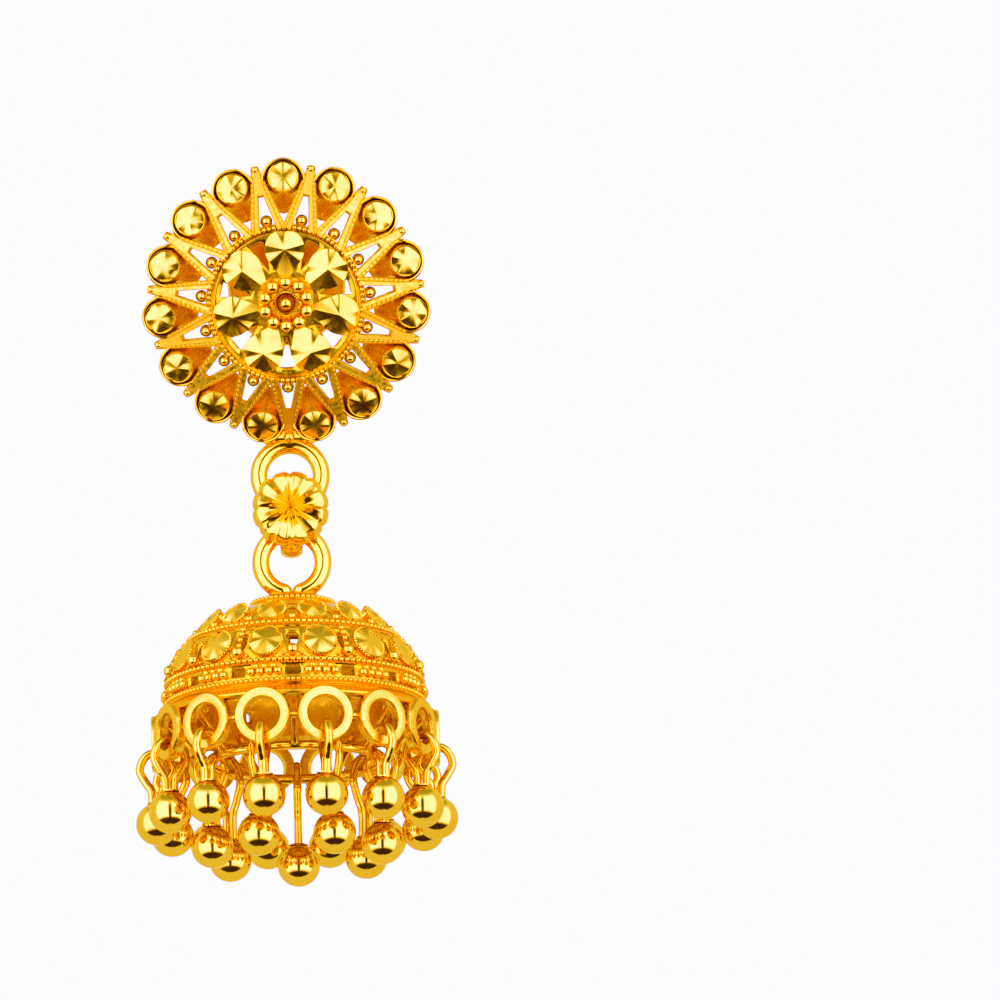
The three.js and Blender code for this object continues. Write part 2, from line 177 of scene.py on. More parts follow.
class LinkSizes(bpy.types.PropertyGroup):
    """Sizes of the hanging rings and the link."""
    ring: measure("Ring", "Radius of the rings to the middle of their wire", 1.9)
    wire: measure("Ring wire", "Radius of the rings' wire", 0.53)
    rosette: measure("Fluted rosette", "Radius of the fluted rosette", 2.35)
    loop: measure("Loop width", "Width of the oblong loop's band", 1.36)


class BellSizes(bpy.types.PropertyGroup):
    """Sizes of the bell."""
    radius: measure("Dome", "Radius of the dome at its foot", 7.75)
    wall: measure("Wall", "Thickness of the dome's wall", 0.42)
    disc: measure("Lower discs", "Radius of the cut discs in the lower row", 1.0)
    top_disc: measure("Upper discs", "Radius of the cut discs in the upper row", 0.8)
    granule: measure("Granules", "Radius of the granules under the discs", 0.27)
    rim: measure("Rim ring", "Outer radius of the rim rings", 1.72)
    hole: measure("Rim hole", "Radius of the rim rings' holes", 1.1)


class DropSizes(bpy.types.PropertyGroup):
    """Sizes of the ball drops."""
    ball: measure("Ball", "Radius of the outer drops' balls", 1.31)
    wire: measure("Wire", "Radius of the outer drops' wire", 0.26)
    small_ball: measure("Inner ball", "Radius of the inner drops' balls", 1.3)
    small_wire: measure("Inner wire", "Radius of the inner drops' wire", 0.24)


class GoldFinish(bpy.types.PropertyGroup):
    """Colour and polish of the gold."""
    gold: FloatVectorProperty(name="Gold", description="Colour of the polished gold", subtype="COLOR",
                              default=(1.0, 0.6, 0.135), min=0, max=1)
    # The shade colour is painted shade: it colours the grounds darker for the shade in the recesses. Mixed in
    # at 0.3, it is also the low end of the other golds' slow random tone.
    shade: FloatVectorProperty(name="Shade", description="Deeper colour in recesses and on grounds",
                               subtype="COLOR", default=(0.88, 0.44, 0.065), min=0, max=1)
    polish: FloatProperty(name="Roughness", description="Roughness of the polished wire and balls",
                          default=0.09, min=0, max=1, subtype="FACTOR")
    satin: FloatProperty(name="Ground roughness", description="Roughness of the recessed grounds",
                         default=0.22, min=0, max=1, subtype="FACTOR")


class StudioSettings(bpy.types.PropertyGroup):
    """Camera, floor and light."""
    distance: FloatProperty(name="Distance", description="From the camera to the earring",
                            default=1.5, unit="LENGTH")
    elevation: FloatProperty(name="Elevation", description="Height angle of the camera",
                             default=math.radians(-12), subtype="ANGLE")
    roll: FloatProperty(name="Roll", description="Turn of the camera about its own line of sight",
                        default=math.radians(1.29), subtype="ANGLE")
    width: measure("Width in view", "Width seen by the camera at the earring", 60.98)
    floor: FloatProperty(name="Floor", description="Height of the floor", default=-0.15, unit="LENGTH")
    windows: FloatProperty(name="Windows", description="Brightness of the two front windows", default=1.65)
    tent: FloatProperty(name="Tent", description="Brightness of the tent all round", default=0.8)
    top: FloatProperty(name="Top", description="Brightness of the tent overhead", default=0.4)
    dark: FloatProperty(name="Dark", description="Brightness of the dark gaps in the tent", default=0.05)


# Arrays of turns and moves.

def spin(axis, angles):
    """One 4 x 4 turn about x, y or z for each angle."""
    angles = np.atleast_1d(np.asarray(angles, float))
    first, second = {"x": (1, 2), "y": (2, 0), "z": (0, 1)}[axis]
    turns = np.tile(np.eye(4), (len(angles), 1, 1))
    turns[:, first, first] = turns[:, second, second] = np.cos(angles)
    turns[:, second, first] = np.sin(angles)
    turns[:, first, second] = -np.sin(angles)
    return turns


def shift(x=0.0, y=0.0, z=0.0):
    """One 4 x 4 move for each of the given places, which broadcast against one another."""
    x, y, z = np.broadcast_arrays(*[np.atleast_1d(np.asarray(value, float)) for value in (x, y, z)])
    moves = np.tile(np.eye(4), (len(x), 1, 1))
    moves[:, :3, 3] = np.stack([x, y, z], axis=1)
    return moves


def steps(count, start=0.0):
    """Angles of a repeated feature round the axis, begun at a share of a step."""
    return (np.arange(count) + start) * 2 * np.pi / count


FORWARD = np.array([0, -math.cos(LEAN), -math.sin(LEAN)])
FACE_UP = np.array([0, -math.sin(LEAN), math.cos(LEAN)])
STUD = np.eye(4)
STUD[:3, :3] = np.stack([[1, 0, 0], FACE_UP, FORWARD], axis=1)
STUD[:3, 3] = FORWARD * LOBE / 2
FOOT = STUD[:3, 3] - FACE_UP * STUD_RADIUS
HANG_Y = FOOT[1] - RING_FORWARD


def mm(group, name):
    """A length from one of the property groups, in millimetres."""
    return getattr(getattr(bpy.context.scene, "earring_" + group), name) / MM


def heights():
    """Heights of the rings, bars and bell that follow one another down the earring."""
    ring, gauge = mm("link", "ring"), mm("link", "wire")
    upper_ring = FOOT[2] + RING_LAP - gauge - ring
    lower_ring = upper_ring - ring - BAR_PITCH - ring
    return {"upper_ring": upper_ring, "bar": upper_ring - ring, "lower_ring": lower_ring,
            "foot": lower_ring - ring - gauge + BELL_SINK - BELL_HEIGHT}


def polar(radius, angles, height):
    """Points (r cos a, r sin a, h), whose three arrays broadcast against one another."""
    return np.stack(np.broadcast_arrays(radius * np.cos(angles), radius * np.sin(angles), height), axis=-1)


# A shape is its points, its faces of four corners (a triangle repeats its last) and a flat mark a face.

def closed(points, faces, flat=False):
    """Merges points at one place, makes triangles at poles and turns the faces outward by signed volume."""
    _, first, back = np.unique(np.round(points, 5), axis=0, return_index=True, return_inverse=True)
    points, faces = points[first], back.reshape(-1)[faces]
    same = faces == np.roll(faces, -1, axis=1)
    pair = np.where(same.any(axis=1), same.argmax(axis=1), 2)
    faces = np.take_along_axis(faces, (np.arange(4) + pair[:, None] + 2) % 4, axis=1)
    keep = same.sum(axis=1) < 2
    flat = np.broadcast_to(flat, len(faces))[keep]
    faces = faces[keep]
    a, b, c, d = (points[faces[:, corner]] - points.mean(axis=0) for corner in range(4))
    volume = (a * (np.cross(b, c) + np.cross(c, d))).sum()
    if volume < 0:
        faces = faces[:, [1, 0, 3, 2]]
    return points, faces, flat


def grid(points, around=False, along=False, flat=False, keep=None):
    """Faces between neighbours in a two-parameter array of points, closed on itself where asked."""
    rows, columns = points.shape[:2]
    index = np.arange(rows * columns).reshape(rows, columns)
    if along:
        index = np.vstack([index, index[:1]])
    if around:
        index = np.hstack([index, index[:, :1]])
    faces = np.stack([index[:-1, :-1], index[1:, :-1], index[1:, 1:], index[:-1, 1:]], axis=-1)
    marks = np.broadcast_to(flat, faces.shape[:2])
    if keep is not None:
        faces, marks = faces[keep], marks[keep]
    return closed(points.reshape(-1, 3), faces.reshape(-1, 4), marks.reshape(-1))


def lathe(profile, sides, loop=False, flat=False):
    """A profile of radius and height turned about z: (r cos a, r sin a, h)."""
    profile = np.asarray(profile, float)
    return grid(polar(profile[:, :1], steps(sides), profile[:, 1:]), around=True, along=loop, flat=flat)


def ball(radius, sides=10, rows=6):
    """A sphere: half a circle turned about z."""
    arc = np.linspace(0, np.pi, rows + 1)
    return lathe(np.stack([radius * np.sin(arc), -radius * np.cos(arc)], axis=1), sides)


def lump(half, sides=20, rows=10):
    """An ellipsoid with the given half sizes."""
    points, faces, flat = ball(1, sides, rows)
    return points * np.asarray(half), faces, flat


def wire(path, radius, sides, normal, loop=False):
    """A round wire along a flat path: a circle across it at each point, with round ends unless it closes."""
    path = np.asarray(path, float)
    ahead, behind = np.roll(path, -1, axis=0), np.roll(path, 1, axis=0)
    if not loop:
        ahead[-1], behind[0] = path[-1], path[0]
    along = ahead - behind
    along /= np.linalg.norm(along, axis=1, keepdims=True)
    thick = np.full(len(path), float(radius))
    if not loop:
        arc = np.linspace(0, np.pi / 2, 5)[:-1]
        head = path[0] - along[0] * radius * np.cos(arc)[:, None]
        tail = path[-1] + along[-1] * radius * np.cos(arc[::-1])[:, None]
        path = np.concatenate([head, path, tail])
        along = np.concatenate([np.repeat(along[:1], 4, axis=0), along, np.repeat(along[-1:], 4, axis=0)])
        thick = np.concatenate([radius * np.sin(arc), thick, radius * np.sin(arc[::-1])])
    normal = np.asarray(normal, float)
    side = np.cross(along, normal)
    angles = steps(sides)[None, :, None]
    ring = normal * np.cos(angles) + side[:, None, :] * np.sin(angles)
    return grid(path[:, None, :] + thick[:, None, None] * ring, around=True, along=loop)


def capped(outline, middle, low, rim, peak, flat=(True, True, True)):
    """A solid on an outline: an underside, a wall up to the rim's heights and a cover that ends in a peak.
    The flat marks are for the three in that order."""
    centre = np.broadcast_to(middle, outline.shape)
    rows = [(centre, low), (outline, low), (outline, rim), (centre, peak)]
    points = np.stack([np.column_stack([row, np.broadcast_to(height, len(outline))]) for row, height in rows])
    return grid(points, around=True, flat=np.broadcast_to(np.array(flat)[:, None], (3, len(outline))))


def placed(shape, places):
    """A copy of the shape at each 4 x 4 place."""
    points, faces, flat = shape
    places = np.asarray(places, float).reshape(-1, 4, 4)
    moved = np.einsum("kij,nj->kni", places[:, :3, :3], points) + places[:, None, :3, 3]
    offsets = (np.arange(len(places)) * len(points))[:, None, None]
    return moved.reshape(-1, 3), (faces[None] + offsets).reshape(-1, 4), np.tile(flat, len(places))


def joined(shapes):
    """Several shapes as one."""
    counts = np.cumsum([0] + [len(shape[0]) for shape in shapes[:-1]])
    return (np.concatenate([shape[0] for shape in shapes]),
            np.concatenate([shape[1] + count for shape, count in zip(shapes, counts)]),
            np.concatenate([shape[2] for shape in shapes]))


def add_object(name, data):
    """A named object at the origin of the scene."""
    item = bpy.data.objects.new(name, data)
    bpy.context.scene.collection.objects.link(item)
    return item


def make_piece(name, body, nodes, parts):
    """A named mesh in metres from (shape, material) pairs. It rides on the body and replaces the nodes."""
    points, faces, flat = joined([part for part, _ in parts])
    slots = list(dict.fromkeys(material for _, material in parts))
    finish = np.concatenate([np.full(len(part[1]), slots.index(material)) for part, material in parts])
    triangle = faces[:, 2] == faces[:, 3]
    order = np.concatenate([np.flatnonzero(~triangle), np.flatnonzero(triangle)])
    mesh = bpy.data.meshes.new(name)
    mesh.from_pydata((points * MM).tolist(), [], faces[~triangle].tolist() + faces[triangle][:, :3].tolist())
    mesh.polygons.foreach_set("use_smooth", ~flat[order])
    mesh.polygons.foreach_set("material_index", finish[order].astype(np.int32))
    mesh.set_sharp_from_angle(angle=math.radians(38))
    for material in slots:
        mesh.materials.append(bpy.data.materials[material])
    mesh.update()
    piece = add_object(name, mesh)
    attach(piece, body)
    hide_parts(*nodes)
    return piece


# Parts that more than one piece uses.

def cut_disc(radius, sink, stand, peak, facets, wobble, fine=4):
    """A disc with cut facets from rim to peak. Rim corners stand high and low by turns. Between two corners
    the height is peak + (h1 sin(a2 - a) + h2 sin(a - a1)) / sin(a2 - a1), so each facet is plane."""
    angles = steps(facets * fine)
    share = angles * facets / (2 * np.pi)
    corner = np.floor(share + 1e-9)
    width = 2 * np.pi / facets
    fall = lambda k: wobble * np.cos(np.pi * k) + 0.35 * wobble * np.sin(2.4 * k) - peak
    part = (share - corner) * width
    rim = (fall(corner % facets) * np.sin(width - part) + fall((corner + 1) % facets) * np.sin(part))
    rim = stand + peak + rim / math.sin(width)
    return capped(polar(radius, angles, 0)[:, :2], 0, -sink, rim, stand + peak, flat=(False, False, True))


def toothed_ring(radius, gauge, teeth, swell=0.3, sides=6):
    """A wire ring that swells and thins along its length: gauge (1 + swell cos(teeth a))."""
    angles = steps(teeth * 4)[:, None]
    across = steps(sides)[None]
    thick = gauge * (1 + swell * np.cos(teeth * angles))
    reach = radius + thick * np.cos(across)
    return grid(polar(reach, angles, thick * np.sin(across)), around=True, along=True)


def crown_height(radius):
    """The rosette's shallow paraboloid, crown (1 - (r / R) squared)."""
    return STUD_CROWN * (1 - (radius / STUD_RADIUS) ** 2)


def on_stud(shape):
    """A shape in the rosette's own frame, put in its place."""
    return placed(shape, STUD)


def stud_piece(name, parts):
    """A piece of the rosette."""
    placed_parts = [(on_stud(shape), material) for shape, material in parts]
    return make_piece(name, "stud", ["stud_rosette"], placed_parts)


# The rosette at the ear.

def cup_wall():
    """A thin wall round the outer side of a cup, lower toward its two ends."""
    reach = math.radians(128)
    arc = np.linspace(-reach, reach, 45)
    height = 1.12 * (1 - 0.55 * np.abs(arc / reach) ** 3)
    inner, outer = CUP_RADIUS - 0.2, CUP_RADIUS
    middle = (inner + outer) / 2
    section = np.array([[outer, 0.0], [outer, 0.9], [outer - 0.03, 0.97], [middle, 1.0],
                        [inner + 0.03, 0.97], [inner, 0.9], [inner, 0.0]])
    radius = np.tile(section[:, 0], (len(arc), 1))
    radius[[0, -1]] = middle
    up = height[:, None] * section[:, 1]
    up[[0, -1]] = up[[0, -1]].mean(axis=1, keepdims=True)
    points = np.stack([radius * np.sin(arc)[:, None], radius * np.cos(arc)[:, None], up], axis=-1)
    return grid(points, around=True)


def cup_body():
    """The tapered body: a drop-shaped outline at the back, R + (tip - R) cos(a) to 1.6, that changes to a
    circle at the front."""
    angles = steps(40)
    tip = CUP_CIRCLE - CUP_TIP
    opening = math.acos(min(CUP_RADIUS / tip, 1))
    from_tip = np.abs((angles + np.pi) % (2 * np.pi) - np.pi)
    point = np.cos(np.minimum(from_tip / opening, 1) * np.pi / 2) ** 1.6
    reach = CUP_RADIUS - 0.05 + (tip - CUP_RADIUS) * point
    heading = np.stack([np.sin(angles), -np.cos(angles)], axis=1)
    drop = reach[:, None] * heading
    seat = np.array([0, CUP_DISC_CIRCLE - CUP_CIRCLE])
    disc = 0.96 * heading + seat
    share = np.array([0, 0, 0.35, 0.8, 1, 1])[:, None, None]
    outline = drop * (1 - share) + disc * share
    outline[0] = drop.mean(axis=0)
    outline[-1] = seat
    up = np.array([0, 0, 0.35, 0.75, 1.15, 1.15])
    points = np.concatenate([outline, np.broadcast_to(up[:, None, None], (6, 40, 1))], axis=-1)
    return grid(points, around=True)


def make_cups():
    """Fifteen cups that lean outward, each with a cut disc in a smooth bezel."""
    disc = mm("rosette", "disc")
    seat = CUP_DISC_CIRCLE - CUP_CIRCLE
    top = CUP_DEPTH + STAR_STAND
    face = placed(cut_disc(disc, 0.3, 0.02, 0.2, 10, 0.07), shift(0, seat, top) @ spin("z", 0.3))
    bezel = placed(lathe([(disc + 0.01, 0), (disc + 0.01, 0.05), (disc + 0.05, 0.07), (disc + 0.08, 0.03),
                          (disc + 0.09, -0.3), (disc + 0.01, -0.3)], 40, loop=True), shift(0, seat, top))
    places = spin("z", -steps(CUP_COUNT)) @ shift(0, CUP_CIRCLE, 0) @ spin("x", -CUP_TILT)
    parts = [(cup_wall(), "bright_gold"), (cup_body(), "satin_gold"), (bezel, "bright_gold"),
             (face, "cut_gold")]
    stud_piece("rosette_cups", [(placed(shape, places), material) for shape, material in parts])


def make_star():
    """The star: a spike from each notch, whose two legs carry a smooth strip and a strip of small cells."""
    width = mm("rosette", "star")
    ring = CROWN_RADIUS - CROWN_EDGE / 2
    foot, near = ring * math.sin(math.pi / CUP_COUNT), ring * math.cos(math.pi / CUP_COUNT)
    drop = crown_height(near) - crown_height(STAR_TIP)
    fall, length = math.atan2(drop, STAR_TIP - near), math.hypot(STAR_TIP - near, drop)
    cells = 13
    along = np.linspace(0, 1, cells * 4 + 1)
    tooth = 0.5 + 0.5 * np.cos(2 * np.pi * cells * along)
    start, end = np.array([0.02, length - 0.05]), np.array([foot - width / 4, -0.05])
    heading = (end - start) / np.linalg.norm(end - start)
    outward = np.array([-heading[1], heading[0]])
    section = np.array([[-0.5, -0.25], [-0.5, 0.2], [-0.42, 0.25], [-0.02, 0.25], [0.02, 0.15], [0.12, 0.15],
                        [0.32, 0.15], [0.42, 0.15], [0.46, 0.2], [0.5, 0.18], [0.5, -0.25]])
    cell = np.array([0, 0, 0, 0, 0, 1, 1, 0, 0, 0, 0])
    base = start + along[:, None] * (end - start)
    taper = 0.72 + 0.28 * along
    flat_xy = base[:, None, :] + outward * (section[:, 0] * width * taper[:, None])[:, :, None]
    up = section[:, 1] + 0.07 * tooth[:, None] * cell
    points = np.concatenate([flat_xy, up[:, :, None]], axis=-1)
    ends = points[[0, -1]].mean(axis=1, keepdims=True).repeat(len(section), axis=1)
    leg = grid(np.concatenate([ends[:1], points, ends[1:]]), around=True)
    mirrored = (leg[0] * [-1, 1, 1], leg[1][:, [1, 0, 3, 2]], leg[2])
    tip = np.array([(0.13, length), (0.34, length * 0.54), (-0.34, length * 0.54), (-0.13, length)])
    plate = capped(tip, tip.mean(axis=0), -STAR_DEPTH / 2, 0.262, 0.262)
    between = spin("z", -steps(CUP_COUNT, 0.5))
    places = between @ shift(0, near, crown_height(near) + STAR_STAND / 2) @ spin("x", -fall)
    notch = placed(ball(0.24, 12, 8), between @ shift(0, 8.24, 0.5))
    seed = placed(ball(0.31, 14, 9), between @ shift(0, 5.15, 1.6))
    collar = placed(lathe([(0.26, 0), (0.37, 0), (0.37, 0.12), (0.26, 0.12)], 20, loop=True),
                    between @ shift(0, 5.15, 1.4))
    stud_piece("rosette_star", [(placed(joined([leg, mirrored, plate]), places), "strip_gold"),
                                (joined([notch, seed, collar]), "polished_gold")])


def pierced(profile, columns, rows_open):
    """A turned sheet, (r sin a, -r cos a, h), with openings. rows_open lists (count, first level, last level,
    half widths there): the columns crowd to an opening's sides, and the faces between them are left out."""
    profile = np.asarray(profile, float)
    levels = len(profile)
    angles = np.tile(np.arange(columns) * 2 * np.pi / columns, (levels, 1))
    keep = np.ones((levels - 1, columns), bool)
    for count, low, high, halves in rows_open:
        each = columns // count
        local = np.arange(columns) % each
        side, half_step = each // 3, math.pi / count
        base = (np.arange(columns) // each) * 2 * np.pi / count
        for level in range(low, high + 1):
            half = halves[level - low] / profile[level, 0]
            angles[level] = base + np.interp(local, [0, side, each - side, each],
                                             [0, half_step - half, half_step + half, 2 * half_step])
        keep[low:high] &= ~((local >= side) & (local < each - side))
    points = np.stack([profile[:, :1] * np.sin(angles), -profile[:, :1] * np.cos(angles),
                       np.broadcast_to(profile[:, 1:], angles.shape)], axis=-1)
    return grid(points, around=True, keep=keep)


def thicken(piece, wall):
    """Gives a sheet its wall, inward from its face."""
    solidify = piece.modifiers.new("wall", "SOLIDIFY")
    solidify.thickness = wall * MM
    solidify.offset = -1
    solidify.use_even_offset = True
    return piece


def make_shelf():
    """The pierced shelf behind the petals, with its raised edge and the fine beads on it."""
    bead = mm("rosette", "bead")
    cut = np.linspace(GAP_INNER, GAP_OUTER, 4)
    radii = [0.001, 1.2, 2.0, *cut, 4.3, 4.7]
    halves = np.maximum(np.linspace(0, GAP_WIDTH / 2, 4), 0.02)
    sheet = placed(pierced([(radius, SHELF_TOP) for radius in radii], PETAL_COUNT * 12,
                           [(PETAL_COUNT, 3, 6, halves)]), STUD @ spin("z", np.pi))
    thicken(make_piece("rosette_shelf", "stud", ["stud_rosette"], [(sheet, "ground_gold_painted_shade")]), SHELF_THICKNESS)
    edge = crown_height(CROWN_RADIUS) + STAR_STAND
    inner = CROWN_RADIUS - CROWN_EDGE
    wall = lathe([(CROWN_RADIUS, SHELF_BACK), (CROWN_RADIUS, edge - 0.1), (CROWN_RADIUS - 0.06, edge - 0.04),
                  (inner + 0.06, edge - 0.04), (inner, edge - 0.1), (inner, SHELF_BACK)], 96, loop=True)
    circle = CROWN_RADIUS - CROWN_EDGE / 2
    beads = placed(ball(bead, 8, 5), spin("z", steps(94)) @ shift(0, circle, edge - 0.01))
    stud_piece("rosette_crown", [(wall, "polished_gold"), (beads, "bright_gold")])


def petal(facets):
    """A cut, pear-shaped dome: a circle drawn out to a point, p(a). Its rim corners stand high and low by
    turns, and each facet is the plane through the peak and two corners: z = peak + s (h1 - peak) +
    t (h2 - peak)."""
    fine = 4
    opening = math.acos(PETAL_ROUND / PETAL_REACH)
    angles = steps(facets * fine)
    from_point = np.abs((angles + np.pi) % (2 * np.pi) - np.pi)
    reach = np.where(from_point < opening, PETAL_ROUND / np.cos(opening - from_point), PETAL_ROUND)
    outline = np.stack([reach * np.sin(angles), -reach * np.cos(angles)], axis=1)
    corner = np.arange(facets)
    high = PETAL_WALL * 0.8 + 0.09 * np.cos(np.pi * corner) + 0.04 * np.sin(2.1 * corner)
    peak = PETAL_WALL + PETAL_PEAK
    first, second = (np.repeat(np.roll(outline[::fine], -step, axis=0), fine, axis=0) for step in (0, 1))
    low, next_low = (np.repeat(np.roll(high, -step), fine) - peak for step in (0, 1))
    cross = lambda one, other: one[:, 0] * other[:, 1] - one[:, 1] * other[:, 0]
    whole = cross(first, second)
    rim = peak + (cross(outline, second) * low + cross(first, outline) * next_low) / whole
    return capped(outline, 0, 0, rim, peak, flat=(False, False, True))


def make_petals():
    """Seven cut petals on the shelf and the eye in their middle: granules on a seat round a recessed bead."""
    top = SHELF_TOP
    places = spin("z", -steps(PETAL_COUNT)) @ shift(0, PETAL_CIRCLE, top - 0.15)
    petals = placed(petal(bpy.context.scene.earring_rosette.facets), places)
    edge = EYE_CIRCLE + EYE_WIDTH / 2
    seat = lathe([(EYE_RECESS, top - 0.1), (edge, top - 0.1), (edge, top + EYE_SEAT * 0.3),
                  (EYE_CIRCLE, top + EYE_SEAT * 0.5), (EYE_RECESS, top + EYE_SEAT * 0.8)], 60, loop=True)
    lip = placed(toothed_ring(EYE_RECESS + 0.04, 0.07, 30), shift(0, 0, top + EYE_SEAT * 0.85))
    round_eye = spin("z", steps(EYE_COUNT)) @ shift(0, EYE_CIRCLE, top + EYE_SEAT + 0.2)
    beads = placed(ball(mm("rosette", "granule"), 20, 12), round_eye)
    pupil = placed(ball(PUPIL, 20, 12), shift(0, 0, top + 0.22))
    stud_piece("rosette_petals", [(petals, "cut_gold"), (joined([seat, lip]), "ground_gold_painted_shade"),
                                  (joined([beads, pupil]), "polished_gold")])


def ring_path(radius, height, gap=0.0):
    """Points round a hanging ring in the plane of x and z, open at its foot by the given half angle."""
    angles = np.linspace(-np.pi / 2 + gap, 1.5 * np.pi - gap, 96) if gap else steps(96)
    return np.stack([radius * np.cos(angles), HANG_Y + 0 * angles, height + radius * np.sin(angles)], axis=1)


def make_upper_ring():
    """The ring soldered under the rosette, its shoulders and the joint granule in front of it."""
    gauge = mm("link", "wire")
    ring = wire(ring_path(mm("link", "ring"), heights()["upper_ring"]), gauge, 24, (0, 1, 0), loop=True)
    foot = -STUD_RADIUS + SADDLE_HEIGHT / 2 - gauge / 2
    bridge = placed(lump((SADDLE_WIDTH / 2 - 0.1, SADDLE_HEIGHT / 2, SADDLE_DEPTH / 2 + 0.05)),
                    shift(0, foot, SADDLE_DEPTH / 2))
    shoulders = placed(lump((0.5, 0.36, 0.4)), shift([-1.25, 1.25], foot - 0.12, SADDLE_DEPTH / 2))
    joint = placed(ball(0.34, 16, 10), shift(0, foot + 0.02, SADDLE_DEPTH + 0.1))
    make_piece("rosette_ring", "stud", ["stud_rosette"], [
        (ring, "polished_gold"), (on_stud(joined([bridge, shoulders, joint])), "polished_gold")])


def make_post():
    """The fastening: a pad behind the shelf, a round pin and a disc nut, all with eased edges."""
    front = SHELF_BACK - CLEARANCE
    nut_front, nut_back = -LOBE, -LOBE - NUT_THICKNESS
    end, ease = nut_back - POST_END, 0.12
    nut = [(POST_RADIUS + 0.5, nut_back), (NUT_RADIUS - 0.5, nut_back), (NUT_RADIUS - ease, nut_back + 0.06),
           (NUT_RADIUS, nut_back + 0.25), (NUT_RADIUS, nut_front - 0.25),
           (NUT_RADIUS - ease, nut_front - 0.03), (NUT_RADIUS - 0.4, nut_front), (POST_RADIUS, nut_front)]
    back = front - PAD_THICKNESS
    pad = [(POST_RADIUS, back), (PAD_RADIUS - ease, back), (PAD_RADIUS, back + ease),
           (PAD_RADIUS, front - ease), (PAD_RADIUS - ease, front)]
    post = lathe([(0, end), (POST_RADIUS - ease, end), (POST_RADIUS, end + ease),
                  (POST_RADIUS, nut_back - 0.3), *nut, *pad, (0, front)], 64)
    make_piece("post_and_nut", "stud", ["ear_post"], [(on_stud(post), "polished_gold")])


# The link.

def make_link():
    """The oblong loop round both bars and the fluted rosette soldered to its front."""
    inner = mm("link", "wire") + CLEARANCE
    outer = inner + LOOP_BAND
    middle, bar = (inner + outer) / 2, heights()["bar"]
    arc = np.linspace(0, np.pi, 25)
    direction = np.concatenate([polar(1, arc + turn, 0)[:, :2] for turn in (0, np.pi)])
    base = np.repeat([0, -BAR_PITCH], len(arc))[:, None]
    corner = steps(20)
    reach = middle + LOOP_BAND / 2 * np.sin(corner)
    across = np.broadcast_to(mm("link", "loop") / 2 * np.cos(corner), (len(direction), len(corner)))
    loop = grid(np.stack([across, HANG_Y + direction[:, :1] * reach,
                          bar + base + direction[:, 1:] * reach], axis=-1), around=True, along=True)
    angles, shares = steps(192)[None], np.linspace(0, 1, 22)[1:, None]
    wave = 2 * np.abs(((angles * LINK_FLUTES / (2 * np.pi) + 0.25) % 1) - 0.5)
    notch = (1 - np.abs(np.sin(angles * LINK_SCALLOPS / 2))) ** 2
    scallop = 1 - 0.06 * notch
    outline = np.where(shares > 0.8, 1 - (1 - scallop) * (shares - 0.8) / 0.2, 1)
    radius = mm("link", "rosette") * shares * outline
    flute = 0.55 * shares ** 0.6 * (1 - shares ** 2) * (wave ** 1.3 - 0.35)
    groove = 0.13 * shares ** 3 * notch
    round_edge = 0.5 * np.clip((shares - 0.82) / 0.18, 0, 1) ** 2
    up = LINK_THICKNESS + LINK_PEAK * (1 - shares ** 1.4) * 0.8 + flute - groove - round_edge
    front = polar(radius, angles, up)
    top = np.zeros_like(front[:1])
    top[..., 2] = LINK_THICKNESS + LINK_PEAK * 0.95
    back = front[-1:] * [1, 1, 0] + [0, 0, -LOOP_BAND / 4]
    close = back * [0, 0, 1]
    face = grid(np.concatenate([top, front, back, close]), around=True)
    place = shift(0, HANG_Y - outer, bar - FACE_DROP) @ spin("x", math.pi / 2)
    make_piece("fluted_link", "link", ["link_rosette"],
               [(loop, "polished_gold"), (placed(face, place), "bright_gold")])


# The bell. Its own frame has the axis at x = y = 0 and the dome's foot at z = 0.

def dome_radius(up):
    """Radius at a share of the dome's height: R (1 - up to the fullness) to the roundness."""
    return mm("bell", "radius") * (1 - np.asarray(up, float) ** DOME_FULLNESS) ** DOME_ROUNDNESS


def on_dome(up, angles, lift=0.0):
    """Places on the dome's outside, x across, y uphill and z outward, turned round from the front."""
    angles = np.atleast_1d(angles)
    up = np.broadcast_to(np.asarray(up, float), angles.shape)
    run = dome_radius(up + 0.01) - dome_radius(up - 0.01)
    rise = np.full(len(angles), 0.02 * BELL_HEIGHT)
    size = np.hypot(run, rise)
    places = np.tile(np.eye(4), (len(angles), 1, 1))
    middle = np.zeros(len(angles))
    uphill = np.stack([middle, -run / size, rise / size], axis=1)
    outward = np.stack([middle, -rise / size, -run / size], axis=1)
    places[:, :3, 1] = uphill
    places[:, :3, 2] = outward
    places[:, :3, 3] = np.stack([middle, -dome_radius(up), up * BELL_HEIGHT], axis=1)
    places[:, :3, 3] += outward * lift
    return spin("z", angles) @ places


def in_bell(shape):
    """A shape in the bell's own frame, put in its place."""
    return placed(shape, shift(0, HANG_Y, heights()["foot"]))


def bell_piece(name, parts):
    """A piece of the bell."""
    return make_piece(name, "bell", ["bell_dome"], [(in_bell(shape), material) for shape, material in parts])


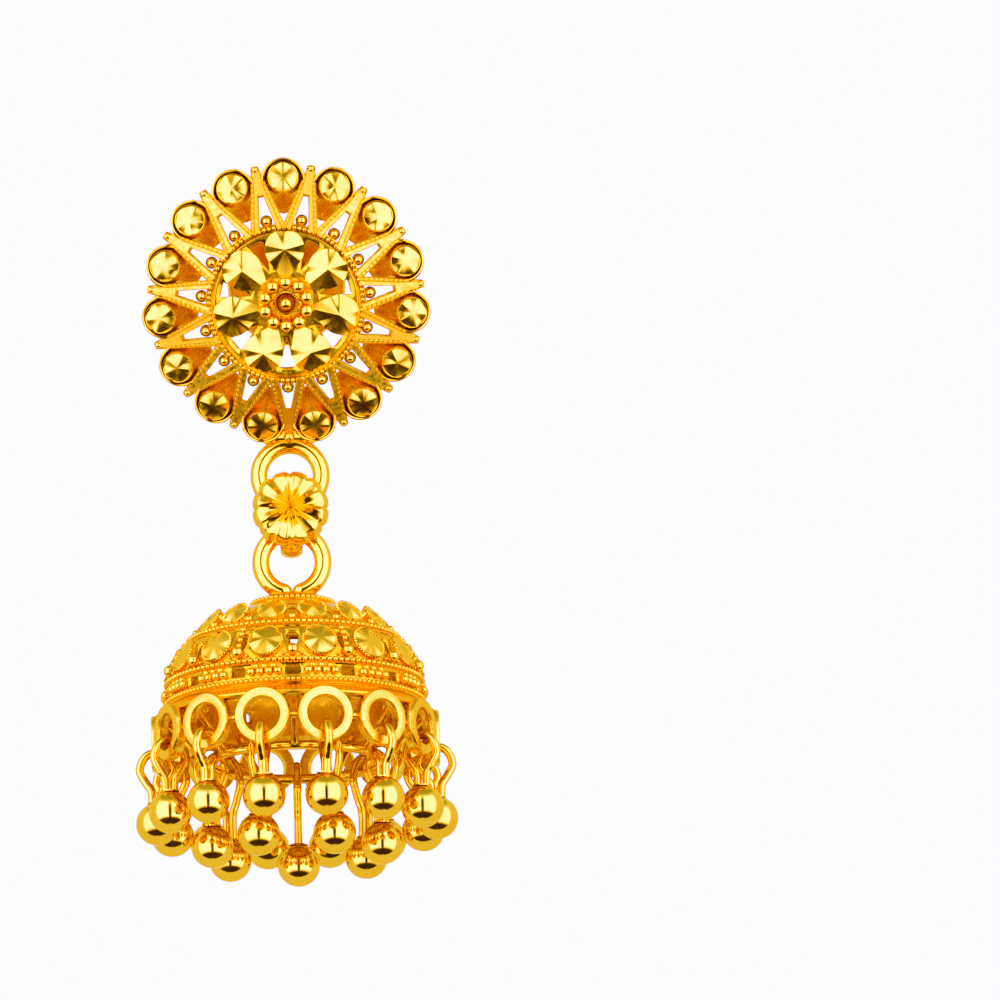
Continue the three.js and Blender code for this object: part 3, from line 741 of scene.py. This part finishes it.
def make_shell():
    """The dome with three rows of openings, its edge band and the short skirt."""
    radius, hole = mm("bell", "radius"), mm("bell", "hole")
    skirt = RIM_CIRCLE + SKIRT_WALL / 2
    edge = radius + EDGE_FLARE
    below = [(skirt, hole + SKIRT_FOOT - RIM_DROP), (skirt - 0.08, -EDGE_DROP - 0.1),
             (edge + 0.05, -EDGE_DROP), (edge, -EDGE_DROP + 0.05), (edge - 0.05, -EDGE_DROP + 0.1),
             (radius + 0.12, -0.08), (radius, 0.0)]
    ups = [0.02, 0.035, 0.06, 0.08, 0.095, 0.145, 0.16, 0.185, 0.21, 0.25, 0.29, 0.33, 0.385, 0.44, 0.48,
           0.52, 0.57, 0.6, 0.63, 0.66, 0.72, 0.78, 0.81, 0.84, 0.87, 0.9, 0.93, 0.955, 0.975, 0.99, 0.9999]
    level = {up: len(below) + place for place, up in enumerate(ups)}
    profile = below + [(float(dome_radius(up)), up * BELL_HEIGHT) for up in ups]
    rows_open = [
        (RIM_COUNT, level[0.08], level[0.16], [0.38, 0.5, 0.5, 0.38]),
        (RIM_COUNT, level[0.29], level[0.48], [0.02, 0.16, 0.34, 0.42, 0.3]),
        (TOP_DISC_COUNT, level[0.66], level[0.78], [0.02, 0.2, 0.26]),
    ]
    sheet = placed(pierced(profile, 280, rows_open), spin("z", -math.pi / RIM_COUNT))
    thicken(bell_piece("bell_shell", [(sheet, "ground_gold_painted_shade")]), mm("bell", "wall"))


def make_bead_lines():
    """Beaded lines round the dome, each on a low ridge, with plain lines beside three of them."""
    beads = []
    for up, size in ((0.035, 0.16), (0.21, 0.185), (0.57, 0.175), (0.9, 0.16)):
        count = int(2 * math.pi * float(dome_radius(up)) / (size * 2.0))
        beads.append(placed(ball(size, 8, 5), on_dome(up, steps(count), 0.12)))
    ridges = [placed(toothed_ring(float(dome_radius(up)), gauge, 48, 0.0), shift(0, 0, up * BELL_HEIGHT))
              for gauge, ups in ((0.12, (0.035, 0.21, 0.57, 0.9)), (0.09, (0.18, 0.012, 0.54))) for up in ups]
    bell_piece("bell_bead_lines", [(joined(beads), "bright_gold"), (joined(ridges), "polished_gold")])


def make_bell_discs():
    """Two rows of cut discs, each in a toothed rim on a short wall; the upper ones lean outward."""
    faces, rims = [], []
    for count, up, size, facets, lean in ((RIM_COUNT, 0.385, mm("bell", "disc"), 12, 0.0),
                                          (TOP_DISC_COUNT, 0.69, mm("bell", "top_disc"), 10, 0.28)):
        places = on_dome(up, steps(count, 0.5)) @ shift(0, 0, 0.5 * lean) @ spin("x", lean)
        faces.append(placed(cut_disc(size, 0.25, 0.16, 0.2, facets, 0.07), places @ spin("z", 0.26)))
        rims.append(placed(toothed_ring(size + 0.04, 0.07, 36, 0.35), places @ shift(0, 0, 0.15)))
        rims.append(placed(lathe([(size - 0.05, -0.2), (size + 0.07, -0.2), (size + 0.07, 0.13),
                                  (size - 0.05, 0.13)], 48, loop=True), places))
    bell_piece("bell_discs", [(joined(faces), "cut_gold"), (joined(rims), "bright_gold")])


def make_granules():
    """Granules: four under each lower disc with three above them, one between discs, and chains in every
    other gap."""
    size = mm("bell", "granule")
    spread = (np.arange(4) - 1.5) * size * 2.02 / float(dome_radius(0.11))
    groups = (steps(RIM_COUNT, 0.5)[:, None] + spread).reshape(-1)
    small_spread = (np.arange(3) - 1) * size * 2.0 / float(dome_radius(0.155))
    uppers = (steps(RIM_COUNT, 0.5)[:, None] + small_spread).reshape(-1)
    gaps = steps(RIM_COUNT)
    rows = [(size, 14, 9, 0.11, groups, size * 0.6), (size * 0.8, 12, 8, 0.155, uppers, size * 0.3),
            (0.37, 16, 10, 0.29, gaps, 0.22), (0.25, 12, 8, 0.62, steps(TOP_DISC_COUNT), 0.12),
            *((0.2, 10, 7, up, gaps[1::2], 0.1) for up in (0.355, 0.41, 0.465, 0.51)),
            *((0.12, 8, 6, 0.262, gaps + side * 0.075, 0.1) for side in (-1, 1))]
    shapes = [placed(ball(radius, sides, levels), on_dome(up, angles, lift))
              for radius, sides, levels, up, angles, lift in rows]
    bell_piece("bell_granules", [(joined(shapes), "polished_gold")])


def make_rim_rings():
    """Fourteen flat rings round the skirt, whose holes carry the drops."""
    outer, inner, half, ease = mm("bell", "rim"), mm("bell", "hole"), RIM_DEPTH / 2, 0.06
    face = [(inner, half - 2 * ease), (inner + ease, half - ease / 2), ((inner + outer) / 2, half),
            (outer - ease, half - ease / 2), (outer, half - 2 * ease)]
    ring = lathe(face + [(radius, -height) for radius, height in face[::-1]], 64, loop=True)
    places = spin("z", steps(RIM_COUNT, 0.5)) @ shift(0, -RIM_CIRCLE, -RIM_DROP) @ spin("x", math.pi / 2)
    between = spin("z", steps(RIM_COUNT)) @ shift(0, -RIM_CIRCLE * 0.985, -RIM_DROP)
    ties = placed(lump((0.34, 0.3, 0.24), 12, 8), between)
    bell_piece("rim_rings", [(placed(ring, places), "satin_gold"), (ties, "polished_gold")])


def make_bell_ring():
    """The bell's own hanging ring, open at its foot, with its two ends soldered to the dome."""
    path = ring_path(mm("link", "ring"), heights()["lower_ring"], gap=0.28)
    ring = wire(path, mm("link", "wire"), 24, (0, 1, 0))
    base = in_bell(placed(lump((1.5, 0.8, 0.16)), shift(0, 0, BELL_HEIGHT - 0.02)))
    make_piece("bell_ring", "bell", ["bell_dome"], [(ring, "polished_gold"), (base, "polished_gold")])


def make_hoop():
    """The plain hoop inside the skirt and the struts that carry it."""
    height = -RIM_DROP - HOOP_DROP
    hoop = wire(polar(HOOP_RADIUS, steps(96), height), HOOP_WIRE, 12, (0, 0, 1), loop=True)
    start = np.array([0, -HOOP_RADIUS, height])
    end = np.array([0, SKIRT_WALL - RIM_CIRCLE, mm("bell", "hole") - RIM_DROP + SKIRT_FOOT + STRUT_RADIUS])
    end += (start - end) / np.linalg.norm(start - end) * STRUT_RADIUS
    strut = wire(start + np.linspace(0, 1, 8)[:, None] * (end - start), STRUT_RADIUS, 12, (1, 0, 0))
    bell_piece("bell_hoop", [(hoop, "polished_gold"),
                             (placed(strut, spin("z", steps(INNER_COUNT))), "polished_gold")])


# The drops.

def smooth_path(points, fine=8):
    """A Catmull-Rom curve through the points: cubic between each two, with slopes from their neighbours."""
    points = np.asarray(points, float)
    padded = np.concatenate([2 * points[:1] - points[1:2], points, 2 * points[-1:] - points[-2:-1]])
    share = np.linspace(0, 1, fine, endpoint=False)[None, :, None]
    p0, p1, p2, p3 = (padded[start:len(padded) - 3 + start, None] for start in range(4))
    curve = 0.5 * (2 * p1 + (p2 - p0) * share + (2 * p0 - 5 * p1 + 4 * p2 - p3) * share ** 2
                   + (3 * p1 - p0 - 3 * p2 + p3) * share ** 3)
    return np.concatenate([curve.reshape(-1, points.shape[1]), points[-1:]])


def drop(size, gauge, half, length):
    """A ball on a pear-shaped wire loop in the plane of x and z, the ball's middle at the origin."""
    side = [(across * half, 0, along * length) for across, along in LOOP_OUTLINE]
    back = [(-x, 0, z) for x, _, z in side[-2::-1]]
    loop = wire(smooth_path(side + back), gauge, 14, (0, 1, 0))
    seat = placed(lathe([(0.36, 0), (0.6, 0), (0.58, 0.09), (0.4, 0.12)], 32, loop=True),
                  shift(0, 0, size * 0.93))
    return joined([ball(size, 48, 30), loop, seat])


def make_drop_ring(name, node, count, radius, seat, sizes):
    """Like drops round the bell, each with its loop across the wire that carries it."""
    size, gauge, half, length = sizes
    shape = drop(size, gauge, half, length)
    digits = len(str(count))
    centre = seat + CLEARANCE + gauge - length
    angles = steps(count, 0.5) - np.pi / 2
    places = shift(radius * np.cos(angles), HANG_Y + radius * np.sin(angles), centre) @ spin("z", angles)
    for number, place in enumerate(places, 1):
        mark = str(number).zfill(digits)
        make_piece(f"{name}_{mark}", "bell", [f"{node}_{mark}"], [(placed(shape, place), "polished_gold")])


def make_drops():
    """Fourteen ball drops on the rim rings."""
    seat = heights()["foot"] - RIM_DROP - mm("bell", "hole")
    make_drop_ring("ball_drop", "drop", RIM_COUNT, RIM_CIRCLE + HANG_OUT, seat,
                   (mm("drops", "ball"), mm("drops", "wire"), DROP_HALF, DROP_LENGTH))


def make_inner_drops():
    """Seven ball drops on the hoop inside the bell."""
    seat = heights()["foot"] - RIM_DROP - HOOP_DROP + HOOP_WIRE
    make_drop_ring("small_drop", "inner_drop", INNER_COUNT, HOOP_RADIUS, seat,
                   (mm("drops", "small_ball"), mm("drops", "small_wire"), INNER_HALF, INNER_LENGTH))


# Finishes.

def add_node(nodes, kind, **values):
    """A shader node with its inputs set. An underscore stands for the space in an input's name."""
    node = nodes.new("ShaderNode" + kind)
    for name, value in values.items():
        node.inputs[name.replace("_", " ")].default_value = value
    return node


def make_gold(name, colour, deep, rough, grain, bump):
    """Gold with a slow change between two colours, a polish that varies, and fine tool marks as bump."""
    material = bpy.data.materials.new(name)
    material.use_nodes = True
    nodes, links = material.node_tree.nodes, material.node_tree.links
    shader = nodes["Principled BSDF"]
    shader.inputs["Metallic"].default_value = 1.0
    shader.inputs["Specular Tint"].default_value = SPECULAR_TINT
    place = add_node(nodes, "TexCoord")
    clouds = add_node(nodes, "TexNoise", Scale=260, Detail=3)
    tint = add_node(nodes, "ValToRGB")
    for element, position, stop in zip(tint.color_ramp.elements, (0.3, 0.7), (deep, colour)):
        element.position, element.color = position, (*stop, 1)
    marks = add_node(nodes, "TexNoise", Scale=grain, Detail=5)
    polish = add_node(nodes, "MapRange", From_Min=0.3, From_Max=0.7, To_Min=rough * 0.6, To_Max=rough * 1.5)
    relief = add_node(nodes, "Bump", Strength=bump, Distance=0.00002)
    for source, output, target, socket in (
            (place, "Object", clouds, "Vector"), (place, "Object", marks, "Vector"),
            (clouds, "Fac", tint, "Fac"), (tint, "Color", shader, "Base Color"),
            (marks, "Fac", polish, "Value"), (polish, "Result", shader, "Roughness"),
            (marks, "Fac", relief, "Height"), (relief, "Normal", shader, "Normal")):
        links.new(source.outputs[output], target.inputs[socket])


def make_finishes():
    """The golds: polished wire and balls, bright edges, cut facets, satin flats and darker grounds."""
    finish = bpy.context.scene.earring_finish
    gold, shade = tuple(finish.gold), tuple(finish.shade)
    rich = tuple(0.7 * a + 0.3 * b for a, b in zip(gold, shade))
    for name, rough, grain, bump in (("polished", finish.polish, 2600, 0.1),
                                     ("bright", finish.polish * 1.2, 3200, 0.15),
                                     ("cut", finish.polish * 2.2, 1500, 0.05),
                                     ("satin", finish.polish * 2.8, 5200, 0.2),
                                     ("strip", finish.satin * 1.9, 4100, 0.15)):
        make_gold(name + "_gold", gold, rich, rough, grain, bump)
    # The grounds run from the shade colour to the rich one. This is painted shade, darker than the other
    # golds for the shade in the recesses.
    make_gold("ground_gold_painted_shade", rich, shade, finish.satin, 2100, 0.15)


# The studio.

def make_world():
    """A light tent by direction: two front windows with a dark gap between them and a dark band below."""
    studio = bpy.context.scene.earring_studio
    world = bpy.data.worlds.new("light_tent")
    bpy.context.scene.world = world
    world.use_nodes = True
    nodes, links = world.node_tree.nodes, world.node_tree.links
    nodes.clear()
    split = nodes.new("ShaderNodeSeparateXYZ")
    links.new(nodes.new("ShaderNodeTexCoord").outputs["Generated"], split.inputs["Vector"])

    def math_node(operation, first, second=None):
        node = nodes.new("ShaderNodeMath")
        node.operation = operation
        for socket, value in zip(node.inputs, (first, second)):
            if isinstance(value, (int, float)):
                socket.default_value = value
            elif value is not None:
                links.new(value, socket)
        return node.outputs[0]

    def ramp(value, low, high):
        node = add_node(nodes, "MapRange", From_Min=low, From_Max=high)
        node.interpolation_type = "SMOOTHSTEP"
        links.new(value, node.inputs["Value"])
        return node.outputs["Result"]

    x, y, z = split.outputs["X"], split.outputs["Y"], split.outputs["Z"]
    turn = math_node("ABSOLUTE", math_node("ARCTAN2", x, math_node("MULTIPLY", y, -1.0)))
    rise = math_node("ARCSINE", z)
    deg = math.radians

    def between(value, low, high, soft):
        fall = math_node("SUBTRACT", 1.0, ramp(value, deg(high - soft), deg(high + soft)))
        return math_node("MULTIPLY", ramp(value, deg(low - soft), deg(low + soft)), fall)

    window, gap, band = (math_node("MULTIPLY", between(turn, *across), between(rise, *upward))
                         for across, upward in (WINDOWS, DARK_GAP, DARK_BAND))
    shade = math_node("MAXIMUM", gap, band)
    top = math_node("MULTIPLY", ramp(rise, *map(deg, OVERHEAD)), studio.top - studio.tent)
    level = math_node("ADD", math_node("MULTIPLY", window, studio.windows - studio.tent), studio.tent)
    level = math_node("ADD", level, top)
    level = math_node("MULTIPLY", level, math_node("SUBTRACT", 1.0, shade))
    level = math_node("ADD", level, studio.dark)
    tent = add_node(nodes, "Background")
    warm = nodes.new("ShaderNodeMix")
    warm.data_type = "RGBA"
    warm.inputs["A"].default_value = TENT_COLOUR
    warm.inputs["B"].default_value = SHADE_COLOUR
    links.new(shade, warm.inputs["Factor"])
    links.new(warm.outputs["Result"], tent.inputs["Color"])
    links.new(level, tent.inputs["Strength"])
    plain = add_node(nodes, "Background", Color=BACKDROP)
    mix = add_node(nodes, "MixShader")
    links.new(nodes.new("ShaderNodeLightPath").outputs["Is Camera Ray"], mix.inputs["Fac"])
    links.new(tent.outputs["Background"], mix.inputs[1])
    links.new(plain.outputs["Background"], mix.inputs[2])
    links.new(mix.outputs["Shader"], nodes.new("ShaderNodeOutputWorld").inputs["Surface"])


def make_floor():
    """A plain pale floor well below the earring."""
    studio = bpy.context.scene.earring_studio
    material = bpy.data.materials.new("pale_floor")
    material.use_nodes = True
    shader = material.node_tree.nodes["Principled BSDF"]
    shader.inputs["Base Color"].default_value = FLOOR_COLOUR
    shader.inputs["Roughness"].default_value = 0.8
    across, deep = (np.linspace(*span, FLOOR_LINES) for span in (FLOOR_ACROSS, FLOOR_DEEP))
    square = (FLOOR_LINES, FLOOR_LINES)
    points = np.stack([*np.meshgrid(across, deep), np.full(square, studio.floor)], axis=-1).reshape(-1, 3)
    index = np.arange(FLOOR_LINES ** 2).reshape(square)
    faces = np.stack([index[:-1, :-1], index[:-1, 1:], index[1:, 1:], index[1:, :-1]], axis=-1).reshape(-1, 4)
    mesh = bpy.data.meshes.new("floor")
    mesh.from_pydata(points.tolist(), [], faces.tolist())
    mesh.materials.append(material)
    add_object("floor", mesh)


def make_camera():
    """A long lens a little below the earring, rolled slightly, which looks past the earring's right side."""
    studio = bpy.context.scene.earring_studio
    sight = np.array([0, math.cos(studio.elevation), -math.sin(studio.elevation)])
    level_up = np.array([0, math.sin(studio.elevation), math.cos(studio.elevation)])
    across, cos, sin = np.array([1, 0, 0]), math.cos(studio.roll), math.sin(studio.roll)
    right, up = cos * across - sin * level_up, sin * across + cos * level_up
    target = np.array(AIM) * MM
    data = bpy.data.cameras.new("camera")
    data.sensor_width = 36
    data.lens = 36 * studio.distance / studio.width
    data.clip_start = 0.01
    data.clip_end = 20
    camera = add_object("camera", data)
    place = np.eye(4)
    place[:3, :3] = np.stack([right, up, -sight], axis=1)
    place[:3, 3] = target - sight * studio.distance
    camera.matrix_world = Matrix(place.tolist())
    bpy.context.scene.camera = camera


def make_studio():
    """Camera, light tent and floor, with standard colours but for the curve on the picture's blue."""
    view = bpy.context.scene.view_settings
    view.view_transform = "Standard"
    view.use_curve_mapping = True
    blue = view.curve_mapping.curves[2]
    for low, high in BLUE_CURVE:
        blue.points.new(low, high)
    view.curve_mapping.update()
    make_world()
    make_floor()
    make_camera()


def operator(label, work):
    """An operator that runs one of the making functions and takes its name and docstring."""
    name = work.__name__.removeprefix("make_")

    def execute(self, context):
        work()
        return {"FINISHED"}

    return type("EARRING_OT_" + name, (bpy.types.Operator,), {
        "bl_idname": "earring." + name, "bl_label": label, "bl_options": {"REGISTER", "UNDO"},
        "__doc__": work.__doc__, "execute": execute})


OPERATORS = [operator(*row) for row in (
    ("Gold finishes", make_finishes),
    ("Rosette cups", make_cups),
    ("Rosette star", make_star),
    ("Rosette shelf", make_shelf),
    ("Petals and eye", make_petals),
    ("Upper ring", make_upper_ring),
    ("Post and nut", make_post),
    ("Fluted link", make_link),
    ("Bell shell", make_shell),
    ("Beaded lines", make_bead_lines),
    ("Bell discs", make_bell_discs),
    ("Granules", make_granules),
    ("Rim rings", make_rim_rings),
    ("Bell ring", make_bell_ring),
    ("Inner hoop", make_hoop),
    ("Ball drops", make_drops),
    ("Inner drops", make_inner_drops),
    ("Studio", make_studio),
)]
GROUPS = {"earring_rosette": RosetteSizes, "earring_link": LinkSizes, "earring_bell": BellSizes,
          "earring_drops": DropSizes, "earring_finish": GoldFinish, "earring_studio": StudioSettings}


class EARRING_PT_panel(bpy.types.Panel):
    """Sizes, finishes and the steps that make the earring."""
    bl_label = "Jhumka earring"
    bl_space_type = "VIEW_3D"
    bl_region_type = "UI"
    bl_category = "Earring"

    def draw(self, context):
        for name, group in GROUPS.items():
            box = self.layout.box()
            box.label(text=group.__doc__)
            for size in group.__annotations__:
                box.prop(getattr(context.scene, name), size)
        for step in OPERATORS:
            self.layout.operator(step.bl_idname)


def register():
    """Registers the groups, the operators and the panel."""
    for item in (*GROUPS.values(), *OPERATORS, EARRING_PT_panel):
        bpy.utils.register_class(item)
    for name, group in GROUPS.items():
        setattr(bpy.types.Scene, name, PointerProperty(type=group))


def unregister():
    """Takes everything that register added away again."""
    for name in GROUPS:
        delattr(bpy.types.Scene, name)
    for item in (EARRING_PT_panel, *reversed(OPERATORS), *reversed(GROUPS.values())):
        bpy.utils.unregister_class(item)


def main():
    """Makes the earring and its studio and keeps the two boxes."""
    register()
    for step in OPERATORS:
        getattr(bpy.ops.earring, step.bl_idname.split(".")[1])()


if __name__ == "__main__":
    main()
